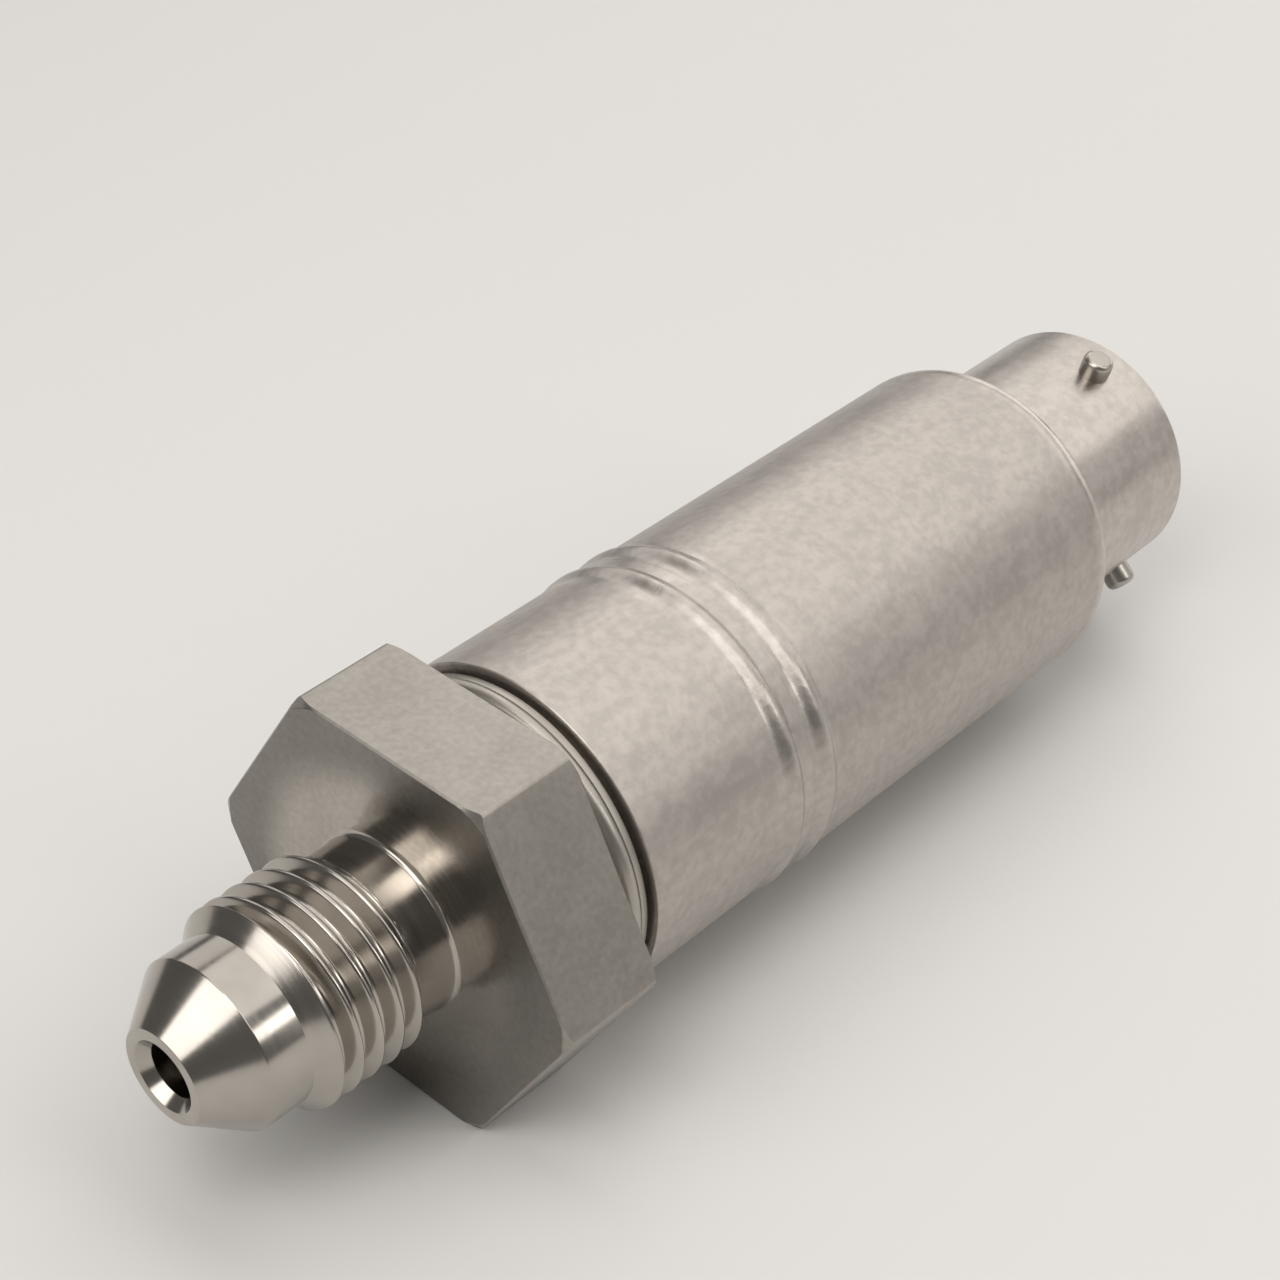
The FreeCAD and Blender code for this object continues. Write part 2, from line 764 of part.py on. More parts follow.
def sealed_insert():
    glass = turned("glass_seal", [
        (glass_front, zero),
        (glass_front, dim.shell_bore - dim.seal_clearance),
        (glass_rear, dim.shell_bore - dim.seal_clearance),
        (glass_rear, zero),
    ])
    places = [contact_place(index) for index in range(contact_count)]
    drill(glass, "pin_holes", glass_front, dim.glass_length,
          [place + (dim.contact_radius + dim.seal_clearance,) for place in places])
    rubber = turned("interfacial_seal", [
        (glass_rear, zero),
        (glass_rear, dim.shell_bore - dim.rubber_clearance),
        (glass_rear + dim.rubber_length, dim.shell_bore - dim.rubber_clearance),
        (glass_rear + dim.rubber_length, zero),
    ])
    drill(rubber, "pin_holes", glass_rear, dim.rubber_length,
          [place + (dim.contact_radius + dim.hole_clearance,) for place in places])
    for index, (across, up) in enumerate(places, start=1):
        pin = turned(f"contact_pin_{index}", [
            (tail_front, zero),
            (tail_front, dim.contact_tail_radius),
            (glass_front - dim.contact_neck, dim.contact_tail_radius),
            (glass_front - dim.contact_neck, dim.contact_radius),
            (contact_tip - dim.contact_chamfer, dim.contact_radius),
            (contact_tip, dim.contact_radius - dim.contact_chamfer),
            (contact_tip, zero),
        ])
        pin.setExpression("Placement.Base.y", across.text)
        pin.setExpression("Placement.Base.z", up.text)


# The flat main board runs between the two round boards and has a tab in a slot of each
board_bottom = dim.board_level - dim.board_thickness
board_half_width = square_root(ring_bore * ring_bore - board_bottom * board_bottom) - dim.board_side_gap


def tab_slot():
    half_slot = dim.tab_width / 2 + dim.slot_clearance
    return -half_slot, half_slot, board_bottom - dim.slot_clearance, dim.board_level + dim.slot_clearance


def front_board():
    pin_hole = dim.header_pin_radius + dim.hole_clearance
    lead_hole = dim.lead_radius + dim.hole_clearance
    screw_hole = dim.screw_radius + dim.hole_clearance
    holes = []
    for index in range(4):
        across, up = header_pin_place(index)
        holes.append((across, up + dim.capsule_offset, pin_hole))
    for side in (-1, 1):
        holes.append((lead_place(side), zero, lead_hole))
    for index in range(3):
        holes.append(standoff_place(index) + (screw_hole,))
    pad_plate("front_board", front_board_front, dim.board_thickness, front_board_radius, holes, tab_slot())


def board_fasteners():
    # Three tubular standoffs, each with a screw through it into the cell block
    bore = dim.screw_radius + dim.hole_clearance
    screws = []
    for index in range(3):
        across, up = standoff_place(index)
        standoff = turned(f"board_standoff_{index + 1}", [
            (block_rear, bore),
            (block_rear, dim.standoff_radius),
            (front_board_front, dim.standoff_radius),
            (front_board_front, bore),
        ])
        standoff.setExpression("Placement.Base.y", across.text)
        standoff.setExpression("Placement.Base.z", up.text)
        screws.append(screw(index + 1, across, up))
    group = doc.addObject("Part::Compound", "board_screws")
    group.Label = "board_screws"
    group.Links = screws
    nodes.append(group)


def screw(number, across, up):
    shank = doc.addObject("Part::Cylinder", f"screw_shank_{number}")
    shank.setExpression("Radius", dim.screw_radius.text)
    shank.setExpression("Height", (front_board_rear - block_rear + dim.screw_depth).text)
    head = doc.addObject("Part::Cylinder", f"screw_head_{number}")
    head.setExpression("Radius", dim.screw_head_radius.text)
    head.setExpression("Height", dim.screw_head_height.text)
    for item, front in ((shank, block_rear - dim.screw_depth), (head, front_board_rear)):
        item.Placement = FreeCAD.Placement(origin, FreeCAD.Rotation(FreeCAD.Vector(0, 1, 0), 90))
        place(item, front, across, up)
    joined = doc.addObject("Part::Fuse", f"screw_{number}")
    joined.Base = shank
    joined.Tool = head
    return joined


def main_board():
    half_tab = dim.tab_width / 2
    body = new_body("main_board")
    sketch = new_sketch(body, "main_board_outline", "XY_Plane", board_bottom)
    draw_outline(sketch, [
        (front_board_front, -half_tab),
        (front_board_front, half_tab),
        (front_board_rear, half_tab),
        (front_board_rear, board_half_width),
        (rear_board_front, board_half_width),
        (rear_board_front, half_tab),
        (rear_board_rear, half_tab),
        (rear_board_rear, -half_tab),
        (rear_board_front, -half_tab),
        (rear_board_front, -board_half_width),
        (front_board_rear, -board_half_width),
        (front_board_rear, -half_tab),
    ])
    pad = body.newObject("PartDesign::Pad", "main_board_pad")
    pad.Profile = sketch
    pad.setExpression("Length", dim.board_thickness.text)


def rear_board():
    tail_hole = dim.contact_tail_radius + dim.hole_clearance
    holes = [contact_place(index) + (tail_hole,) for index in range(contact_count)]
    pad_plate("rear_board", rear_board_front, dim.board_thickness, rear_board_radius, holes, tab_slot())


def insulating_tube():
    front = ring_rear + dim.ring_spigot + dim.tube_end_gap
    rear = rear_board_front - dim.tube_end_gap
    turned("insulating_tube", [
        (front, spigot_radius - dim.tube_wall),
        (front, spigot_radius),
        (rear, spigot_radius),
        (rear, spigot_radius - dim.tube_wall),
    ])


def components():
    # Three packages along the middle of the board and a row of chips on each side
    start = front_board_rear + dim.component_start
    processor_start = start + dim.amplifier_length + dim.component_gap
    regulator_start = processor_start + dim.processor_width + dim.component_gap
    block("amplifier_chip", (start, -dim.amplifier_width / 2, dim.board_level),
          dim.amplifier_length, dim.amplifier_width, dim.amplifier_height)
    block("processor_chip", (processor_start, -dim.processor_width / 2, dim.board_level),
          dim.processor_width, dim.processor_width, dim.processor_height)
    block("regulator_chip", (regulator_start, -dim.regulator_width / 2, dim.board_level),
          dim.regulator_length, dim.regulator_width, dim.regulator_height)
    for index in range(4):
        chip_start = start + (dim.chip_length + dim.component_gap) * index
        block(f"chip_capacitor_{index + 1}",
              (chip_start, dim.component_row - dim.chip_width / 2, dim.board_level),
              dim.chip_length, dim.chip_width, dim.capacitor_height)
        block(f"chip_resistor_{index + 1}",
              (chip_start, -dim.component_row - dim.chip_width / 2, dim.board_level),
              dim.chip_length, dim.chip_width, dim.resistor_height)


port_fitting()
cell_block()
pressure_capsule()
temperature_probe()
housing()
connector_shell()
bayonet_pins()
sealed_insert()
front_board()
board_fasteners()
main_board()
rear_board()
insulating_tube()
components()
doc.recompute()

for item in doc.Objects:
    if "Invalid" in item.State or "Error" in item.State:
        raise RuntimeError(f"{item.Label} failed: {item.State}")
for node in nodes:
    if node.Shape.isNull() or not node.Shape.isValid():
        raise RuntimeError(f"{node.Label} has no valid shape")

os.makedirs("parts", exist_ok=True)
for node in nodes:
    node.Shape.exportStep(f"parts/{node.Label}.step")
print(f"{len(nodes)} nodes written")
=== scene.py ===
import json
import math
import bpy
from mathutils import Matrix, Vector, noise


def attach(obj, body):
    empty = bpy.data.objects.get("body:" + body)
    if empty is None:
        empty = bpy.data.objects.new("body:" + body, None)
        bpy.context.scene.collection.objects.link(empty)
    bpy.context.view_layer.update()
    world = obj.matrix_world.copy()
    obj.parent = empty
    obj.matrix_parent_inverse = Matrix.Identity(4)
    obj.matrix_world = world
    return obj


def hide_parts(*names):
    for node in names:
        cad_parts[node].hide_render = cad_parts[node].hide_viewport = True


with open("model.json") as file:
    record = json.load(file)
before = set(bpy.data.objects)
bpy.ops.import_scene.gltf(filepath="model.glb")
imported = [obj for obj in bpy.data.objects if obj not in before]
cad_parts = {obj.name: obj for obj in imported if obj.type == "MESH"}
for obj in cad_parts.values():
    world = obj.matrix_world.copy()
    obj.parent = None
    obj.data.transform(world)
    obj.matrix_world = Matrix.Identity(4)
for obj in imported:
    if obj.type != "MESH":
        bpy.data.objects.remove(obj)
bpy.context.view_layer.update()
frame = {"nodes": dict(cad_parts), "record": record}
mm = 0.001  # the outlines below are in millimetres
weldDistance = 1e-7  # corners closer than this are merged


# Shared modelling steps

def deselectAll():
    if bpy.context.object and bpy.context.object.mode != "OBJECT":
        bpy.ops.object.mode_set(mode="OBJECT")
    bpy.ops.object.select_all(action="DESELECT")


def selectOnly(piece):
    deselectAll()
    piece.select_set(True)
    bpy.context.view_layer.objects.active = piece


def softOutline(corners, arcSteps=5):
    # Each corner is x, radius and, where it is broken, the size of its round
    points = []
    count = len(corners)
    for index in range(count):
        corner = Vector(corners[index][:2])
        size = corners[index][2] if len(corners[index]) > 2 else 0
        if size == 0:
            points.append((corner.x, corner.y))
            continue
        toBefore = (Vector(corners[index - 1][:2]) - corner).normalized()
        toAfter = (Vector(corners[(index + 1) % count][:2]) - corner).normalized()
        halfAngle = toBefore.angle(toAfter) / 2
        centre = corner + (toBefore + toAfter).normalized() * size / math.sin(halfAngle)
        start = corner + toBefore * size / math.tan(halfAngle) - centre
        stop = corner + toAfter * size / math.tan(halfAngle) - centre
        startAngle = math.atan2(start.y, start.x)
        sweep = math.atan2(stop.y, stop.x) - startAngle
        sweep = (sweep + math.pi) % (2 * math.pi) - math.pi
        for step in range(arcSteps + 1):
            angle = startAngle + sweep * step / arcSteps
            points.append((centre.x + size * math.cos(angle), centre.y + size * math.sin(angle)))
    return points


def drawOutline(name, points):
    # A closed wire in the XY plane, extruded corner by corner from one vertex
    deselectAll()
    bpy.ops.mesh.primitive_plane_add(size=mm, location=(0, 0, 0))
    piece = bpy.context.object
    piece.name = name
    piece.data.name = name
    bpy.ops.object.mode_set(mode="EDIT")
    bpy.ops.mesh.select_mode(type="VERT")
    bpy.ops.mesh.merge(type="CENTER")
    bpy.ops.transform.translate(value=(points[0][0] * mm, points[0][1] * mm, 0))
    for start, stop in zip(points, points[1:] + points[:1]):
        step = ((stop[0] - start[0]) * mm, (stop[1] - start[1]) * mm, 0)
        bpy.ops.mesh.extrude_vertices_move(TRANSFORM_OT_translate={"value": step})
    bpy.ops.mesh.select_all(action="SELECT")
    bpy.ops.mesh.remove_doubles(threshold=weldDistance)
    return piece


def turnPiece(name, points, steps, axis=(1, 0, 0)):
    # Spin the outline once round the axis, close the seam and point the faces outwards
    piece = drawOutline(name, points)
    bpy.ops.mesh.select_all(action="SELECT")
    bpy.ops.mesh.spin(steps=steps, angle=2 * math.pi, use_auto_merge=True,
                      center=(0, 0, 0), axis=axis)
    bpy.ops.mesh.select_all(action="SELECT")
    bpy.ops.mesh.remove_doubles(threshold=weldDistance)
    bpy.ops.mesh.normals_make_consistent(inside=False)
    bpy.ops.object.mode_set(mode="OBJECT")
    return piece


def axisPlace(vertex):
    # Distances along and from the axis in millimetres, and the angle from +Y towards +Z
    spot = vertex.co
    return spot.x / mm, math.hypot(spot.y, spot.z) / mm, math.atan2(spot.z, spot.y)


def growOut(vertex, share):
    vertex.co.y *= share
    vertex.co.z *= share


def applyModifier(piece, modifier):
    selectOnly(piece)
    bpy.ops.object.modifier_apply(modifier=modifier.name)


def applyPlace(piece):
    # Put the object's place and turn into its mesh
    selectOnly(piece)
    bpy.ops.object.transform_apply(location=True, rotation=True, scale=True)


def smoothPiece(piece, degrees=28):
    # Smooth shading that leaves wide faces flat beside their narrow edge rounds
    selectOnly(piece)
    bpy.ops.object.shade_smooth_by_angle(angle=math.radians(degrees))
    modifier = piece.modifiers.new("weighting", "WEIGHTED_NORMAL")
    modifier.mode = "FACE_AREA"
    modifier.weight = 80
    modifier.keep_sharp = True
    applyModifier(piece, modifier)


def cutAway(piece, cutter):
    # Take the cutter's shape out of the piece, then remove the cutter
    bpy.context.view_layer.update()
    modifier = piece.modifiers.new("cut", "BOOLEAN")
    modifier.operation = "DIFFERENCE"
    modifier.solver = "EXACT"
    modifier.object = cutter
    applyModifier(piece, modifier)
    bpy.data.objects.remove(cutter)


def copyPiece(piece, name):
    selectOnly(piece)
    bpy.ops.object.duplicate(linked=False)
    twin = bpy.context.object
    twin.name = name
    twin.data.name = name
    return twin


def finishPiece(piece, node, slotName):
    # Give the piece its finish and let it stand for the CAD node that it follows
    piece.data.materials.clear()
    piece.data.materials.append(finishes[slotName])
    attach(piece, "root")
    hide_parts(node)


# Material steps

def newMaterial(name):
    material = bpy.data.materials.new(name)
    material.use_nodes = True
    tree = material.node_tree
    return material, tree, tree.nodes["Principled BSDF"]


def mathNode(tree, operation, first, second=None):
    # Each value is a number or the socket that it comes from
    node = tree.nodes.new("ShaderNodeMath")
    node.operation = operation
    for index, value in enumerate((first, second)):
        if isinstance(value, (int, float)):
            node.inputs[index].default_value = value
        elif value is not None:
            tree.links.new(value, node.inputs[index])
    return node.outputs[0]


def blend(tree, share, first, second):
    # Between two numbers or sockets by a share from 0 to 1
    away = mathNode(tree, "MULTIPLY", mathNode(tree, "SUBTRACT", 1.0, share), first)
    return mathNode(tree, "ADD", away, mathNode(tree, "MULTIPLY", share, second))


def stepBetween(tree, value, low, high):
    # From 0 to 1 between two places, with a soft start and end
    node = tree.nodes.new("ShaderNodeMapRange")
    node.interpolation_type = "SMOOTHSTEP"
    node.inputs["From Min"].default_value = low
    node.inputs["From Max"].default_value = high
    tree.links.new(value, node.inputs["Value"])
    return node.outputs[0]


def zone(tree, value, start, stop, soft):
    # 1 between two places, falling to 0 over a short distance outside them
    rise = stepBetween(tree, value, start - soft, start)
    fall = stepBetween(tree, value, stop, stop + soft)
    return mathNode(tree, "MULTIPLY", rise, mathNode(tree, "SUBTRACT", 1.0, fall))


def axisCoordinates(tree):
    # The place itself, then the distances along and from the axis in millimetres
    place = tree.nodes.new("ShaderNodeTexCoord").outputs["Object"]
    split = tree.nodes.new("ShaderNodeSeparateXYZ")
    tree.links.new(place, split.inputs[0])
    along = mathNode(tree, "MULTIPLY", split.outputs["X"], 1 / mm)
    squareY = mathNode(tree, "MULTIPLY", split.outputs["Y"], split.outputs["Y"])
    squareZ = mathNode(tree, "MULTIPLY", split.outputs["Z"], split.outputs["Z"])
    radius = mathNode(tree, "SQRT", mathNode(tree, "ADD", squareY, squareZ))
    return place, along, mathNode(tree, "MULTIPLY", radius, 1 / mm)


def noiseTexture(tree, place, scale, detail):
    texture = tree.nodes.new("ShaderNodeTexNoise")
    texture.inputs["Scale"].default_value = scale
    texture.inputs["Detail"].default_value = detail
    tree.links.new(place, texture.inputs["Vector"])
    return texture.outputs["Fac"]


def latheRings(tree, along, radius, density):
    # Noise that changes only along and away from the axis, like a turning tool's marks
    join = tree.nodes.new("ShaderNodeCombineXYZ")
    tree.links.new(along, join.inputs["X"])
    tree.links.new(radius, join.inputs["Y"])
    return noiseTexture(tree, join.outputs[0], density, detail=2.0)


def swing(tree, value, reach):
    # Turns a texture's 0 to 1 into a change of this reach to either side
    return mathNode(tree, "MULTIPLY", mathNode(tree, "SUBTRACT", value, 0.5), reach * 2)


def tintedColour(tree, value, dark, light, edges=(0.3, 0.7)):
    ramp = tree.nodes.new("ShaderNodeValToRGB")
    for stop, colour, edge in zip(ramp.color_ramp.elements, (dark, light), edges):
        stop.color = (*colour, 1)
        stop.position = edge
    tree.links.new(value, ramp.inputs[0])
    return ramp.outputs[0]


def shadedColour(tree, colour, shade):
    scaled = tree.nodes.new("ShaderNodeVectorMath")
    scaled.operation = "SCALE"
    tree.links.new(colour, scaled.inputs[0])
    tree.links.new(shade, scaled.inputs["Scale"])
    return scaled.outputs[0]


def addBump(tree, shader, height, strength, distance):
    bump = tree.nodes.new("ShaderNodeBump")
    bump.inputs["Strength"].default_value = strength
    bump.inputs["Distance"].default_value = distance
    tree.links.new(height, bump.inputs["Height"])
    tree.links.new(bump.outputs[0], shader.inputs["Normal"])


# Turned steel: port fitting, pins and inner metal; the milled hexagon is duller and darker, and
# its front face carries painted shade

turnedSteelValues = {
    "dark": (0.40, 0.372, 0.338),
    "light": (0.48, 0.450, 0.412),
    "roughness": 0.18,
    "roughnessChange": 0.05,
    "blotchScale": 330.0,
    "ringDensity": 3.5,
    "ringDepth": 0.0016,
    "hexFront": 14.03,        # places along the axis, in millimetres as all lengths here
    "hexRear": 20.33,
    "hexSoft": 0.03,
    "hexShade": 0.78,
    "flatRoughness": 0.36,
    "fleckScale": 2700.0,     # the milled faces carry small flecks
    "fleckShare": 0.6,
    "fleckContrast": 1.5,
    "grainScale": 7000.0,
    "grainDepth": 0.004,
    "faceRear": 14.075,       # the front face carries painted shade, darker still away from the neck
    "faceSoft": 0.02,
    # painted shade on the hexagon's front face, away from the neck
    "facePaintedShade": 0.55,
    "faceRoughness": 0.17,
    "dullRadius": 9.8,        # radius from which the hexagon has its milled look
    "dullSoft": 3.0,
    "collarFront": 20.38,
    "collarRear": 28.0,
    "collarRoughness": 0.36,
    "pinStart": 66.0,
    "pinSoft": 0.4,
    "pinRoughness": 0.30,
    "farAway": 100.0,         # past the whole part
}


def makeTurnedSteel(name, values):
    material, tree, shader = newMaterial(name)
    place, along, radius = axisCoordinates(tree)
    rings = latheRings(tree, along, radius, values["ringDensity"])
    blotches = noiseTexture(tree, place, values["blotchScale"], detail=5.0)
    grain = noiseTexture(tree, place, values["grainScale"], detail=3.0)
    flecks = noiseTexture(tree, place, values["fleckScale"], detail=5.0)

    hexagon = zone(tree, along, values["hexFront"], values["hexRear"], values["hexSoft"])
    collar = zone(tree, along, values["collarFront"], values["collarRear"], values["hexSoft"])
    pins = zone(tree, along, values["pinStart"], values["farAway"], values["pinSoft"])
    outward = zone(tree, radius, values["dullRadius"], values["farAway"], values["dullSoft"])
    # The front face away from the neck, where the shade is painted
    front = zone(tree, along, values["hexFront"], values["faceRear"], values["faceSoft"])
    face = mathNode(tree, "MULTIPLY", outward, front)
    dull = mathNode(tree, "MULTIPLY", hexagon, outward)

    milled = blend(tree, values["fleckShare"], blotches, flecks)
    milled = mathNode(tree, "ADD", swing(tree, milled, values["fleckContrast"] / 2), 0.5)
    mottle = blend(tree, hexagon, blotches, milled)
    colour = tintedColour(tree, mottle, values["dark"], values["light"])
    shade = blend(tree, dull, 1.0, values["hexShade"])
    # painted shade: the hexagon's front face is darkened away from the neck
    shade = blend(tree, face, shade, values["facePaintedShade"])
    tree.links.new(shadedColour(tree, colour, shade), shader.inputs["Base Color"])

    hexRoughness = blend(tree, outward, values["faceRoughness"], values["flatRoughness"])
    roughness = blend(tree, collar, values["roughness"], values["collarRoughness"])
    roughness = blend(tree, pins, roughness, values["pinRoughness"])
    roughness = blend(tree, hexagon, roughness, hexRoughness)
    roughness = mathNode(tree, "ADD", roughness, swing(tree, rings, values["roughnessChange"]))
    tree.links.new(roughness, shader.inputs["Roughness"])
    shader.inputs["Metallic"].default_value = 1.0

    ringHeight = mathNode(tree, "MULTIPLY", rings, values["ringDepth"])
    ringHeight = mathNode(tree, "MULTIPLY", ringHeight, mathNode(tree, "SUBTRACT", 1.0, collar))
    grainHeight = mathNode(tree, "MULTIPLY", grain, values["grainDepth"])
    grainHeight = mathNode(tree, "MULTIPLY", grainHeight, dull)
    addBump(tree, shader, mathNode(tree, "ADD", ringHeight, grainHeight), 1.0, mm)
    return material


# Satin steel: blasted sleeves, smoother weld beads and the turned connector barrel

satinSteelValues = {
    "dark": (0.43, 0.397, 0.369),
    "light": (0.51, 0.471, 0.438),
    "tintEdges": (0.40, 0.60),
    "roughness": 0.40,
    "roughnessChange": 0.05,
    "blotchScale": 420.0,
    "speckScale": 1700.0,     # small pale and dark flecks of the blasted finish
    "speckShare": 0.65,
    "grainScale": 6000.0,
    "grainDepth": 0.008,      # lengths are in millimetres
    "ringDensity": 2.5,
    "ringDepth": 0.0015,
    "beadFront": 32.2,
    "beadRear": 37.1,
    "beadSoft": 0.1,
    "beadRoughness": 0.32,
    "barrelStart": 60.6,
    "barrelSoft": 0.4,
    "barrelRoughness": 0.30,
    "barrelShade": 1.12,      # the barrel is a little brighter than the sleeves
    "barrelGrain": 0.3,
    "farAway": 100.0,         # past the whole part
}


def makeSatinSteel(name, values):
    material, tree, shader = newMaterial(name)
    place, along, radius = axisCoordinates(tree)
    rings = latheRings(tree, along, radius, values["ringDensity"])
    grain = noiseTexture(tree, place, values["grainScale"], detail=3.0)
    blotches = noiseTexture(tree, place, values["blotchScale"], detail=6.0)
    specks = noiseTexture(tree, place, values["speckScale"], detail=5.0)
    beads = zone(tree, along, values["beadFront"], values["beadRear"], values["beadSoft"])
    barrel = zone(tree, along, values["barrelStart"], values["farAway"], values["barrelSoft"])

    mottle = blend(tree, values["speckShare"], blotches, specks)
    colour = tintedColour(tree, mottle, values["dark"], values["light"], values["tintEdges"])
    shade = blend(tree, barrel, 1.0, values["barrelShade"])
    tree.links.new(shadedColour(tree, colour, shade), shader.inputs["Base Color"])

    roughness = blend(tree, beads, values["roughness"], values["beadRoughness"])
    roughness = blend(tree, barrel, roughness, values["barrelRoughness"])
    change = swing(tree, blotches, values["roughnessChange"])
    tree.links.new(mathNode(tree, "ADD", roughness, change), shader.inputs["Roughness"])
    shader.inputs["Metallic"].default_value = 1.0

    height = mathNode(tree, "MULTIPLY", grain, values["grainDepth"])
    height = mathNode(tree, "MULTIPLY", height, blend(tree, barrel, 1.0, values["barrelGrain"]))
    ringHeight = mathNode(tree, "MULTIPLY", rings, values["ringDepth"])
    addBump(tree, shader, mathNode(tree, "ADD", height, ringHeight), 1.0, mm)
    return material


# Plain finishes of the seals, contacts and electronics, by the slot that they fill

plainFinishes = {
    "sealing_glass": {
        "name": "sealingGlass", "roughness": 0.15, "scale": 900.0, "metallic": 0.0,
        "dark": (0.02, 0.035, 0.03), "light": (0.035, 0.055, 0.045)},
    "gold_plate": {
        "name": "goldPlate", "roughness": 0.22, "scale": 1500.0, "metallic": 1.0,
        "dark": (0.75, 0.52, 0.22), "light": (0.86, 0.62, 0.30)},
    "silicon": {
        "name": "polishedSilicon", "roughness": 0.12, "scale": 900.0, "metallic": 0.0,
        "dark": (0.10, 0.11, 0.13), "light": (0.15, 0.16, 0.18)},
    "element_ceramic": {
        "name": "firedCeramic", "roughness": 0.6, "scale": 2500.0, "metallic": 0.0,
        "dark": (0.52, 0.46, 0.36), "light": (0.62, 0.55, 0.45)},
    "potting": {
        "name": "pottingResin", "roughness": 0.45, "scale": 600.0, "metallic": 0.0,
        "dark": (0.52, 0.42, 0.22), "light": (0.62, 0.52, 0.30)},
    "seal_rubber": {
        "name": "sealRubber", "roughness": 0.55, "scale": 1800.0, "metallic": 0.0,
        "dark": (0.20, 0.055, 0.035), "light": (0.28, 0.08, 0.05)},
    "board_laminate": {
        "name": "boardLaminate", "roughness": 0.35, "scale": 1200.0, "metallic": 0.0,
        "dark": (0.02, 0.11, 0.05), "light": (0.035, 0.16, 0.075)},
    "chip_package": {
        "name": "chipPackage", "roughness": 0.5, "scale": 3000.0, "metallic": 0.0,
        "dark": (0.012, 0.012, 0.014), "light": (0.025, 0.025, 0.028)},
}
plainChange = 0.15  # share by which the mottle changes a plain finish's roughness
plainBump = (0.3, 0.00001)  # strength and depth in metres


def makePlain(values):
    # A matt, glassy or plated finish with fine mottling
    material, tree, shader = newMaterial(values["name"])
    place = tree.nodes.new("ShaderNodeTexCoord").outputs["Object"]
    mottle = noiseTexture(tree, place, values["scale"], detail=4.0)
    colour = tintedColour(tree, mottle, values["dark"], values["light"])
    tree.links.new(colour, shader.inputs["Base Color"])
    roughness = tree.nodes.new("ShaderNodeMapRange")
    roughness.inputs["To Min"].default_value = values["roughness"] * (1 - plainChange)
    roughness.inputs["To Max"].default_value = values["roughness"] * (1 + plainChange)
    tree.links.new(mottle, roughness.inputs["Value"])
    tree.links.new(roughness.outputs[0], shader.inputs["Roughness"])
    shader.inputs["Metallic"].default_value = values["metallic"]
    addBump(tree, shader, mottle, *plainBump)
    return material


print("materials")
finishes = {
    "turned_steel": makeTurnedSteel("turnedSteel", turnedSteelValues),
    "satin_steel": makeSatinSteel("satinSteel", satinSteelValues),
}
for slotName, plainValues in plainFinishes.items():
    finishes[slotName] = makePlain(plainValues)


# Port fitting: flared nose, helical thread, neck, milled hexagon and collar

portValues = {
    "steps": 192,
    "boreRadius": 1.5,
    "mouthRadius": 1.95,      # the bore opens to this at the tip
    "mouthDepth": 0.6,
    "mouthEdge": 0.03,
    "tipRadius": 2.55,
    "tipEdge": 0.06,
    "coneEnd": 2.7205,
    "coneEdge": 0.15,
    "landEnd": 4.98,
    "landRadius": 4.6,
    "threadRadius": 5.556,
    "threadRootRadius": 4.777,
    "threadPitch": 1.27,
    "threadStart": 5.9,       # the groove deepens from here over the reach below
    "startReach": 0.3,
    "threadEnd": 10.9065,
    "threadWear": 0.055,      # the crest and root edges are slightly worn round
    "leadSoft": 0.08,
    "crestPlace": 6.70,       # where a crest crosses the angle below
    "crestAngle": 40.1,       # degrees from +Y towards +Z
    "columnGap": 0.021,
    "gap": 0.001,             # keeps the land's and the neck's own rings out of the thread
    "neckStart": 11.7065,
    "neckRadius": 4.75,
    "neckFillet": 0.3,
    "hexFront": 14.0565,
    "hexRear": 20.3065,
    "hexFlats": 20.9,
    "hexFaceRadius": 11.5,
    "hexSpare": 0.5,          # how far the spun disc stands past its faces before milling
    "hexInset": 0.3,
    "chamferAngle": 30,
    "edgeBreak": 0.12,
    "longEdge": 0.18,
    "longEdgeSteps": 4,
    "margin": 0.01,           # allowed for when a rim or corner is picked by its place
    "collarFoot": 11.0,
    "collarRadius": 8.9,
    "collarEdge": 0.12,
    "beadStart": 21.3565,
    "beadEnd": 22.2565,
    "beadRadius": 9.1,
    "beadHeight": 0.25,
    "beadSteps": 10,
    "socketRadius": 7.6,
    "socketFloor": 18.6065,
    "reliefRadius": 6.2,
    "reliefFloor": 17.0065,
    "smoothAngle": 24,
}


def threadShape(distance):
    # Radius of a 60 degree thread at a distance from the middle of its crest
    values = portValues
    crestHalf = values["threadPitch"] / 16
    drop = (abs(distance) - crestHalf) * math.tan(math.radians(60))
    depth = values["threadRadius"] - values["threadRootRadius"]
    return values["threadRadius"] - min(max(drop, 0), depth)


def eased(share):
    # From 0 to 1 with a soft start and end
    share = min(max(share, 0), 1)
    return share * share * (3 - 2 * share)


def softLeast(first, second, reach):
    # The lesser of two values, with the corner between them rounded off
    share = max(reach - abs(first - second), 0) / reach
    return min(first, second) - share * share * reach / 4


def threadedRadius(x, angle):
    values = portValues
    pitch = values["threadPitch"]
    crest = values["threadRadius"]
    turns = (x - values["crestPlace"]) / pitch - (angle - values["crestAngle"]) / 360
    distance = (turns - round(turns)) * pitch
    shifts = [step * values["threadWear"] / 4 for step in range(-4, 5)]
    radius = sum(threadShape(distance + shift) for shift in shifts) / len(shifts)
    radius = crest - (crest - radius) * eased((x - values["threadStart"]) / values["startReach"])
    lead = values["landRadius"] + max(x - values["landEnd"], 0)
    runout = max(crest - max(x - values["threadEnd"], 0), values["neckRadius"])
    return softLeast(softLeast(radius, lead, values["leadSoft"]), runout, values["leadSoft"])


